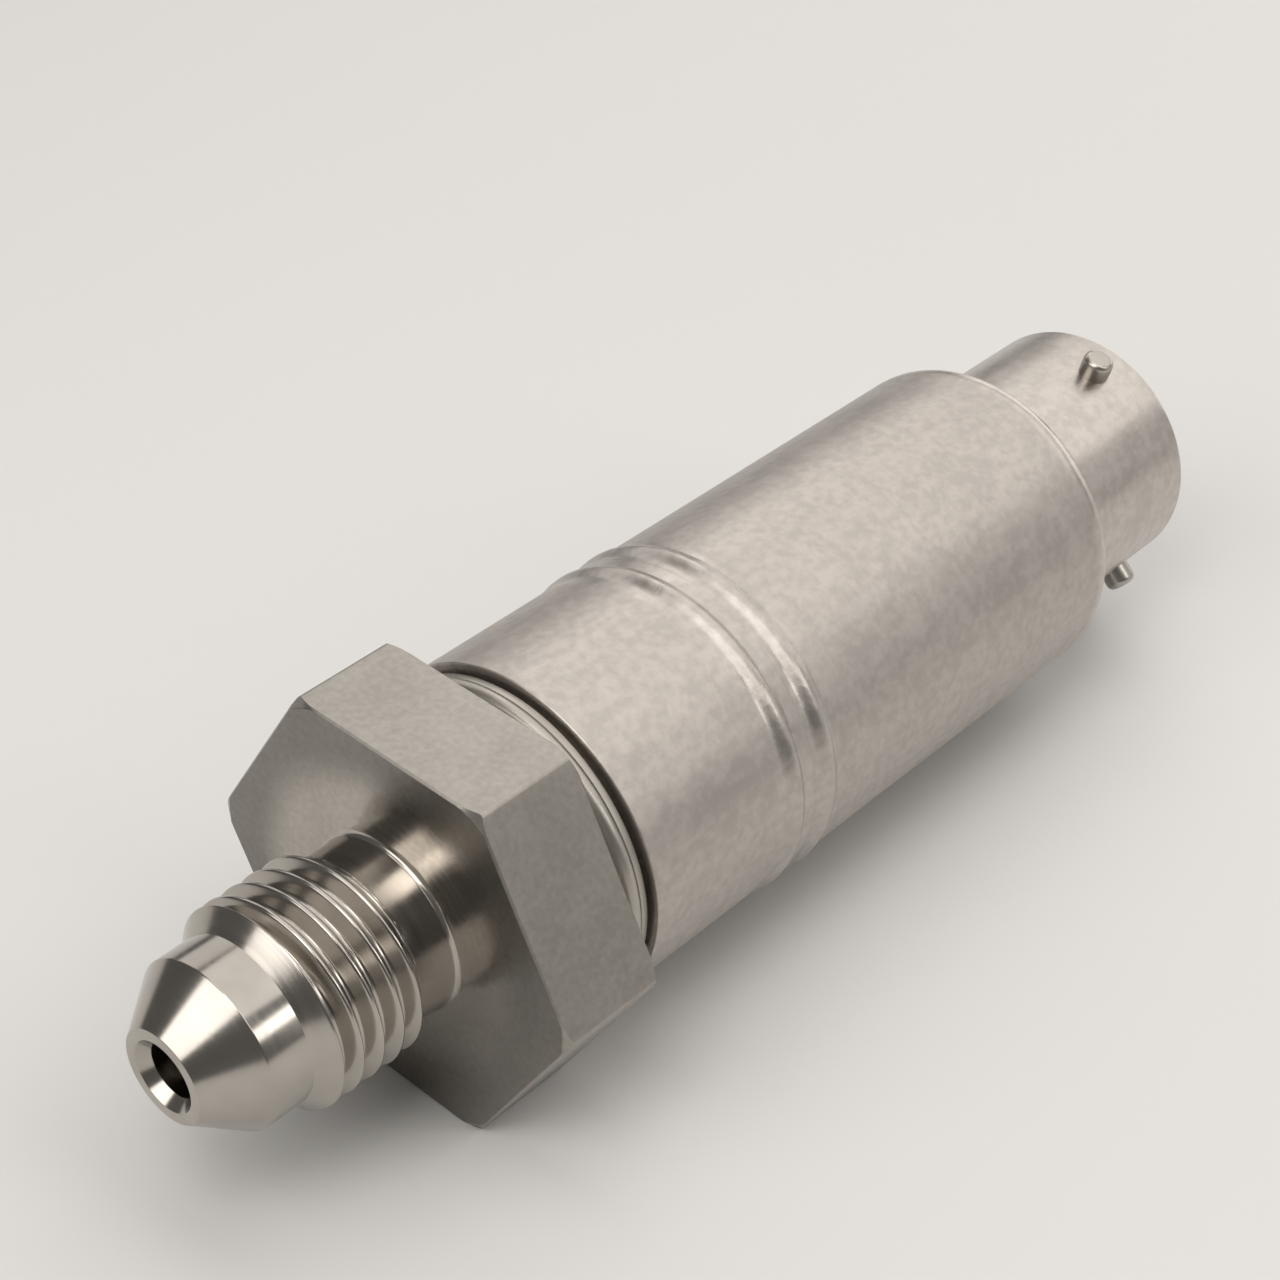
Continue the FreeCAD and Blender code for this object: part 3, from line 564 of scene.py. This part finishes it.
def millHexagon(x, radius, angle):
    # Bring the two rims and the chamfer edges of the spun disc onto the six flats
    values = portValues
    flat = values["hexFlats"] / 2 / math.cos(math.radians(angle % 60 - 30))
    rim = min(values["hexFaceRadius"], flat - values["edgeBreak"])
    slope = math.tan(math.radians(values["chamferAngle"]))
    inset = max(values["edgeBreak"], (flat - values["hexFaceRadius"]) * slope)
    if radius < values["hexFaceRadius"] + values["hexSpare"] / 2:
        return x, rim
    front = x < (values["hexFront"] + values["hexRear"]) / 2
    return (values["hexFront"] + inset if front else values["hexRear"] - inset), flat


def beadArc(startX, startR, stopX, stopR, height, steps):
    # Points of an arc that stands above its chord
    chord = Vector((stopX - startX, stopR - startR))
    along = chord.normalized()
    out = Vector((-chord.y, chord.x)).normalized()
    radius = (chord.length ** 2 / 4 + height ** 2) / (2 * height)
    half = math.asin(min(chord.length / 2 / radius, 1))
    middle = Vector(((startX + stopX) / 2, (startR + stopR) / 2)) + out * (height - radius)
    points = []
    for step in range(steps + 1):
        turn = -half + 2 * half * step / steps
        points.append(tuple(middle + (out * math.cos(turn) + along * math.sin(turn)) * radius))
    return points


def portOutline():
    # From the tip back along the outside, and forwards again through the bore
    values = portValues
    mouth = (values["mouthDepth"], values["boreRadius"])
    nose = softOutline([
        mouth,
        (0, values["mouthRadius"], values["mouthEdge"]),
        (0, values["tipRadius"], values["tipEdge"]),
        (values["coneEnd"], values["landRadius"], values["coneEdge"]),
        (values["landEnd"], values["landRadius"]),
    ])[1:]
    length = values["neckStart"] - values["landEnd"]
    columns = int(length / values["columnGap"])
    thread = [(values["landEnd"] + length * index / columns, values["landRadius"])
              for index in range(1, columns)]
    neck = softOutline([
        (values["neckStart"], values["neckRadius"]),
        (values["hexFront"], values["neckRadius"], values["neckFillet"]),
        (values["hexFront"], values["hexFaceRadius"]),
    ])[:-1]
    spare = values["hexFaceRadius"] + values["hexSpare"]
    hexagon = [
        (values["hexFront"], values["hexFaceRadius"]),
        (values["hexFront"] + values["hexInset"], spare),
        (values["hexRear"] - values["hexInset"], spare),
        (values["hexRear"], values["hexFaceRadius"]),
    ]
    collar = softOutline([
        (values["hexRear"], values["collarFoot"]),
        (values["hexRear"], values["collarRadius"], values["collarEdge"]),
        (values["beadStart"], values["collarRadius"]),
    ])[1:]
    bead = beadArc(values["beadStart"], values["collarRadius"], values["beadEnd"],
                   values["beadRadius"], values["beadHeight"], values["beadSteps"])[1:]
    inside = [
        (values["beadEnd"], values["socketRadius"]),
        (values["socketFloor"], values["socketRadius"]),
        (values["socketFloor"], values["reliefRadius"]),
        (values["reliefFloor"], values["reliefRadius"]),
        (values["reliefFloor"], values["boreRadius"]),
        mouth,
    ]
    return nose + thread + neck + hexagon + collar + bead + inside


def makePortFitting():
    values = portValues
    piece = turnPiece("portFitting", portOutline(), values["steps"])
    first, last = values["landEnd"] + values["gap"], values["neckStart"] - values["gap"]
    for vertex in piece.data.vertices:
        x, radius, turn = axisPlace(vertex)
        angle = math.degrees(turn) % 360
        place, size = x, radius
        if first < x < last and radius > 2 * values["boreRadius"]:
            size = threadedRadius(x, angle)
        elif radius > values["hexFaceRadius"] - values["margin"]:
            place, size = millHexagon(x, radius, angle)
        vertex.co.x = place * mm
        growOut(vertex, size / radius)
    bevelHexCorners(piece)
    smoothPiece(piece, values["smoothAngle"])
    return piece


def bevelHexCorners(piece):
    # The six long edges of the hexagon carry a narrow break
    values = portValues
    selectOnly(piece)
    bpy.ops.object.mode_set(mode="EDIT")
    bpy.ops.mesh.select_mode(type="EDGE")
    bpy.ops.mesh.select_all(action="DESELECT")
    bpy.ops.object.mode_set(mode="OBJECT")
    corner = values["hexFlats"] / 2 / math.cos(math.radians(30)) - values["margin"]
    longEnough = (values["hexRear"] - values["hexFront"]) / 3
    vertices = piece.data.vertices
    for edge in piece.data.edges:
        first, last = (axisPlace(vertices[index]) for index in edge.vertices)
        edge.select = min(first[1], last[1]) > corner and abs(first[0] - last[0]) > longEnough
    bpy.ops.object.mode_set(mode="EDIT")
    bpy.ops.mesh.bevel(offset=values["longEdge"] * mm, segments=values["longEdgeSteps"],
                       affect="EDGES")
    bpy.ops.object.mode_set(mode="OBJECT")


# Housing: two sleeves with weld beads and the ring between them

housingValues = {
    "steps": 360,
    "radius": 9.525,
    "bore": 8.45,
    "front": 22.9665,
    "frontEdge": 0.1,
    "rear": 60.4065,
    "ringFront": 34.3065,
    "ringRear": 35.0065,
    "ringRadius": 9.52,
    "ringBore": 7.5,
    "ringSpigot": 8.4,
    "ringLap": 2.4,           # how far the ring reaches into each sleeve
    "frontBead": (32.7, 33.68, 34.22),   # toe, crest and toe again
    "rearBead": (35.25, 36.22, 36.85),
    "beadHeight": 0.21,
    "beadSteps": 26,
    "skin": 0.3,              # what lies deeper than this isn't rippled
    "ripple": 0.01,
    "rippleAlong": 1.3,
    "rippleAround": 26,
    "rippleFine": 2.3,        # a finer ripple of half the height lies over the first
}


def beadCurve(toe, crest, end):
    # A smooth swelling between two toes, steeper on the side where its crest is nearer
    values = housingValues
    points = []
    for step in range(values["beadSteps"] + 1):
        x = toe + (end - toe) * step / values["beadSteps"]
        share = (x - toe) / (crest - toe) if x < crest else (end - x) / (end - crest)
        swell = (1 - math.cos(math.pi * share)) / 2
        points.append((x, values["radius"] + values["beadHeight"] * swell))
    return points


def rippleBead(piece, low, high):
    # Fine uneven ripples that a welding arc leaves, fading out at the toes of the bead
    values = housingValues
    middle = (low + high) / 2
    half = (high - low) / 2
    for vertex in piece.data.vertices:
        x, radius, angle = axisPlace(vertex)
        if not low < x < high or radius < values["radius"] - values["skin"]:
            continue
        fade = max(1 - ((x - middle) / half) ** 2, 0)
        spot = Vector((x * values["rippleAlong"], math.cos(angle) * values["rippleAround"],
                       math.sin(angle) * values["rippleAround"]))
        swell = noise.noise(spot) + 0.5 * noise.noise(spot * values["rippleFine"])
        growOut(vertex, 1 + values["ripple"] * fade * swell / radius)


def makeFrontSleeve():
    values = housingValues
    toe = values["frontBead"][0]
    outer = softOutline([
        (values["front"], values["bore"]),
        (values["front"], values["radius"], values["frontEdge"]),
        (toe, values["radius"]),
    ])[1:-1]
    inside = [(values["ringFront"], values["radius"]), (values["ringFront"], values["bore"]),
              (values["front"], values["bore"])]
    points = outer + beadCurve(*values["frontBead"]) + inside
    piece = turnPiece("frontSleeve", points, values["steps"])
    rippleBead(piece, toe, values["ringFront"])
    smoothPiece(piece)
    return piece


def makeJoiningRing():
    values = housingValues
    front, rear = values["ringFront"], values["ringRear"]
    bore, spigot, lap = values["ringBore"], values["ringSpigot"], values["ringLap"]
    points = softOutline([
        (front - lap, bore), (front - lap, spigot), (front, spigot), (front, values["ringRadius"]),
        (rear, values["ringRadius"]), (rear, spigot), (rear + lap, spigot), (rear + lap, bore),
    ])
    piece = turnPiece("joiningRing", points, values["steps"])
    smoothPiece(piece)
    return piece


def makeRearSleeve():
    values = housingValues
    rest = [(values["rear"], values["radius"]), (values["rear"], values["bore"]),
            (values["ringRear"], values["bore"]), (values["ringRear"], values["radius"])]
    piece = turnPiece("rearSleeve", beadCurve(*values["rearBead"]) + rest, values["steps"])
    rippleBead(piece, values["ringRear"], values["rearBead"][2])
    smoothPiece(piece)
    return piece


# Connector: shell with keyways, bayonet pins and contacts

shellValues = {
    "steps": 240,
    "front": 58.4065,
    "spigotRadius": 8.4,
    "shoulderFront": 60.4065,
    "shoulderRear": 62.0765,
    "shoulderRadius": 9.525,
    "shoulderRound": 1.5,
    "footFillet": 0.06,
    "rear": 72.3665,
    "radius": 7.43,
    "rearRound": 0.4,
    "bore": 6.2,
    "boreEdge": 0.1,
    "masterAngle": 90,
    "keyAngles": (0, 105, 140, 215, 265),
    "keyWidths": (1.9, 1.3, 1.3, 1.3, 1.3),
    "keyDepth": 0.5,
    "keyLength": 8.36,
    "cutterStart": 3,         # the cutter reaches from this radius to the key's floor
    "cutterSpare": 1,         # and this far out of the open end
}


def makeShell():
    values = shellValues
    points = softOutline([
        (values["front"], values["bore"]),
        (values["front"], values["spigotRadius"]),
        (values["shoulderFront"], values["spigotRadius"]),
        (values["shoulderFront"], values["shoulderRadius"]),
        (values["shoulderRear"], values["shoulderRadius"], values["shoulderRound"]),
        (values["shoulderRear"], values["radius"], values["footFillet"]),
        (values["rear"], values["radius"], values["rearRound"]),
        (values["rear"], values["bore"], values["boreEdge"]),
    ], arcSteps=8)
    piece = turnPiece("connectorShell", points, values["steps"])
    for turn, width in zip(values["keyAngles"], values["keyWidths"]):
        cutKeyway(piece, values["masterAngle"] + turn, width)
    smoothPiece(piece)
    return piece


def cutKeyway(piece, angle, width):
    values = shellValues
    turn = math.radians(angle)
    length = values["keyLength"] + values["cutterSpare"]
    depth = values["bore"] + values["keyDepth"] - values["cutterStart"]
    middle = values["cutterStart"] + depth / 2
    deselectAll()
    bpy.ops.mesh.primitive_cube_add(size=1, location=(0, 0, 0))
    cutter = bpy.context.object
    cutter.scale = (length * mm, depth * mm, width * mm)
    cutter.location = ((values["rear"] - values["keyLength"] + length / 2) * mm,
                       middle * math.cos(turn) * mm, middle * math.sin(turn) * mm)
    cutter.rotation_euler = (turn, 0, 0)
    cutAway(piece, cutter)


pinValues = {
    "steps": 48,
    "station": 69.5065,
    "angles": (104, 224, 344),
    "foot": 6.98,
    "reach": 8.63,
    "radius": 0.9,
    "topRound": 0.4,
}


def makeBayonetPins():
    values = pinValues
    outline = softOutline([
        (0, values["foot"]),
        (0, values["reach"]),
        (values["radius"], values["reach"], values["topRound"]),
        (values["radius"], values["foot"]),
    ], arcSteps=6)
    pins = []
    for index, angle in enumerate(values["angles"], start=1):
        pin = turnPiece(f"bayonetPin{index}", outline, values["steps"], (0, 1, 0))
        pin.rotation_euler = (math.radians(angle), 0, 0)
        pin.location = (values["station"] * mm, 0, 0)
        applyPlace(pin)
        smoothPiece(pin)
        pins.append(pin)
    return pins


contactValues = {
    "steps": 32,
    "tail": 54.8065,
    "neck": 58.6065,
    "tip": 68.2065,
    "tailRadius": 0.35,
    "radius": 0.508,
    "tipRound": 0.5,
    "count": 6,               # the last one is in the middle, the others on the circle
    "circle": 3.05,
    "firstAngle": 90,
}


def makeContacts():
    values = contactValues
    outline = softOutline([
        (values["tail"], 0),
        (values["tail"], values["tailRadius"]),
        (values["neck"], values["tailRadius"]),
        (values["neck"], values["radius"]),
        (values["tip"], values["radius"], values["tipRound"]),
        (values["tip"], 0),
    ], arcSteps=8)
    first = turnPiece("contactPin1", outline, values["steps"])
    smoothPiece(first)
    pins = [first]
    pins += [copyPiece(first, f"contactPin{index}") for index in range(2, values["count"] + 1)]
    around = pins[:-1]
    for index, pin in enumerate(around):
        angle = math.radians(values["firstAngle"] + 360 * index / len(around))
        out = values["circle"] * mm
        pin.location = (0, out * math.cos(angle), out * math.sin(angle))
        applyPlace(pin)
    return pins


# Inside the port: the closed tube of the temperature sensor and the block that holds the cell

wellValues = {
    "steps": 48,
    "tip": 2.8,
    "radius": 0.72,
    "tipRound": 0.7,
    "bore": 0.5,
    "boreTip": 3.25,
    "rear": 27.2065,
}


def makeThermowell():
    values = wellValues
    outline = softOutline([
        (values["tip"], 0),
        (values["tip"], values["radius"], values["tipRound"]),
        (values["rear"], values["radius"]),
        (values["rear"], values["bore"]),
        (values["boreTip"], values["bore"]),
        (values["boreTip"], 0),
    ], arcSteps=8)
    piece = turnPiece("thermowellTube", outline, values["steps"])
    smoothPiece(piece)
    return piece


blockValues = {
    "steps": 192,
    "front": 18.6065,
    "flangeFront": 22.2565,
    "flangeRear": 22.6665,
    "flangeEdge": 0.05,
    "rear": 26.2065,
    "plugRadius": 7.57,
    "flangeRadius": 9.1,
    "spigotRadius": 8.4,
    "wellHole": 0.75,
    "capsuleOffset": 3.9,
    "capsuleSeat": 2.3,
    "capsuleDepth": 5.4,
    "windowRadius": 1.9,
    "windowLength": 10,       # longer than the block, so that it comes out behind
    "screwAngles": (30, 150, 270),
    "screwCircle": 6.6,
    "screwHole": 0.53,
    "screwDepth": 1.43,
    "screwDrill": 3,
    "drillSpare": 1,          # the drills start this far in front of the block
    "drillSides": 64,
}


def makeCellBlock():
    values = blockValues
    points = softOutline([
        (values["front"], values["wellHole"]),
        (values["front"], values["plugRadius"]),
        (values["flangeFront"], values["plugRadius"]),
        (values["flangeFront"], values["flangeRadius"]),
        (values["flangeRear"], values["flangeRadius"], values["flangeEdge"]),
        (values["flangeRear"], values["spigotRadius"]),
        (values["rear"], values["spigotRadius"]),
        (values["rear"], values["wellHole"]),
    ], arcSteps=3)
    piece = turnPiece("cellBlock", points, values["steps"])
    start = values["front"] - values["drillSpare"]
    seatLength = values["capsuleDepth"] + values["drillSpare"]
    drillAlong(piece, start, seatLength, 0, values["capsuleOffset"], values["capsuleSeat"])
    drillAlong(piece, start, values["windowLength"], 0, values["capsuleOffset"],
               values["windowRadius"])
    for angle in values["screwAngles"]:
        turn = math.radians(angle)
        drillAlong(piece, values["rear"] - values["screwDepth"], values["screwDrill"],
                   values["screwCircle"] * math.cos(turn), values["screwCircle"] * math.sin(turn),
                   values["screwHole"])
    smoothPiece(piece)
    return piece


def drillAlong(piece, start, length, across, up, radius):
    # A round hole parallel to the axis
    middle = ((start + length / 2) * mm, across * mm, up * mm)
    deselectAll()
    bpy.ops.mesh.primitive_cylinder_add(vertices=blockValues["drillSides"], radius=radius * mm,
                                        depth=length * mm, location=middle,
                                        rotation=(0, math.pi / 2, 0))
    cutAway(piece, bpy.context.object)


print("port fitting")
finishPiece(makePortFitting(), "port_fitting", "turned_steel")
print("housing")
finishPiece(makeFrontSleeve(), "front_sleeve", "satin_steel")
finishPiece(makeJoiningRing(), "joining_ring", "satin_steel")
finishPiece(makeRearSleeve(), "rear_sleeve", "satin_steel")
print("connector")
finishPiece(makeShell(), "connector_shell", "satin_steel")
for number, pin in enumerate(makeBayonetPins(), start=1):
    finishPiece(pin, f"bayonet_pin_{number}", "turned_steel")
for number, pin in enumerate(makeContacts(), start=1):
    finishPiece(pin, f"contact_pin_{number}", "gold_plate")
print("inside the port")
finishPiece(makeThermowell(), "thermowell", "turned_steel")
finishPiece(makeCellBlock(), "cell_block", "turned_steel")

print("inner parts")
slots = {item["node"]: item["material_slot"] for item in frame["record"]["subparts"]}
for node, item in frame["nodes"].items():
    item.data.materials.clear()
    item.data.materials.append(finishes[slots[node]])


# Studio: pale floor, soft lamps and the photograph's camera

studioValues = {
    "floorLevel": -10.45,
    "floorSize": 4,           # metres
    "floorColour": (0.67, 0.665, 0.655),
    "floorRoughness": 0.9,
    "worldColour": (0.50, 0.49, 0.47),
    "worldStrength": 0.30,
    "lampTarget": (36, 0, 0),
    "lampColour": (1, 0.975, 0.94),
    "lamps": {                # turn and rise in degrees, distance, face size, radiance
        "topSoftbox": (5, 52, 350, (520, 320), 1.2),
        "leftSoftbox": (62, 25, 350, (280, 190), 0.9),
        "rightSoftbox": (-50, 20, 350, (230, 230), 0.52),
        "noseSoftbox": (172, 41, 300, (240, 150), 2.6),
        "browSoftbox": (-160, 61, 300, (120, 100), 5.2),
        "tallSoftbox": (-84, 76, 300, (100, 500), 2.3),
        "stripSoftbox": (-67, 29.5, 292, (70, 70), 3.0),
        "endSoftbox": (6, 10, 300, (300, 110), 1.5),
    },
    "cameraPlace": (-0.04970, -0.06945, 0.09130),   # metres, found from the photograph
    "cameraRight": (0.66960, -0.74183, 0.03631),
    "cameraUp": (0.43916, 0.43488, 0.78614),
    "cameraBack": (-0.59898, -0.51045, 0.61698),
    "cameraLens": 75.738,
    "cameraSensor": 36,
    "cameraClip": 0.001,
}


def addSoftbox(name, turn, rise, away, size, radiance):
    # Placed by its direction from the part, with the power that gives its face this radiance
    target = Vector(studioValues["lampTarget"])
    turn, rise = math.radians(turn), math.radians(rise)
    across = away * math.cos(rise)
    place = target + Vector((across * math.cos(turn), across * math.sin(turn),
                             away * math.sin(rise)))
    deselectAll()
    bpy.ops.object.light_add(type="AREA", location=place * mm)
    lamp = bpy.context.object
    lamp.name = name
    lamp.data.shape = "RECTANGLE"
    lamp.data.size = size[0] * mm
    lamp.data.size_y = size[1] * mm
    lamp.data.energy = radiance * math.pi * size[0] * size[1] * mm * mm
    lamp.data.color = studioValues["lampColour"]
    toTarget = target * mm - lamp.location
    lamp.rotation_euler = toTarget.to_track_quat("-Z", "Y").to_euler()


def makeFloor():
    deselectAll()
    bpy.ops.mesh.primitive_grid_add(x_subdivisions=4, y_subdivisions=4,
                                    size=studioValues["floorSize"],
                                    location=(0, 0, studioValues["floorLevel"] * mm))
    floor = bpy.context.object
    floor.name = "studioFloor"
    material, tree, shader = newMaterial("floorPaper")
    shader.inputs["Base Color"].default_value = (*studioValues["floorColour"], 1)
    shader.inputs["Roughness"].default_value = studioValues["floorRoughness"]
    floor.data.materials.append(material)


def makeWorld():
    world = bpy.data.worlds.new("studio")
    bpy.context.scene.world = world
    world.use_nodes = True
    background = world.node_tree.nodes["Background"]
    background.inputs["Color"].default_value = (*studioValues["worldColour"], 1)
    background.inputs["Strength"].default_value = studioValues["worldStrength"]


def makeCamera():
    deselectAll()
    bpy.ops.object.camera_add()
    camera = bpy.context.object
    camera.name = "photoCamera"
    axes = [Vector(studioValues[key]) for key in ("cameraRight", "cameraUp", "cameraBack")]
    turn = Matrix(axes).transposed().to_4x4()
    camera.matrix_world = Matrix.Translation(studioValues["cameraPlace"]) @ turn
    camera.data.lens = studioValues["cameraLens"]
    camera.data.sensor_width = studioValues["cameraSensor"]
    camera.data.clip_start = studioValues["cameraClip"]
    bpy.context.scene.camera = camera


print("studio")
makeFloor()
makeWorld()
for lampName, lampValues in studioValues["lamps"].items():
    addSoftbox(lampName, *lampValues)
makeCamera()
bpy.context.scene.view_settings.view_transform = "Standard"
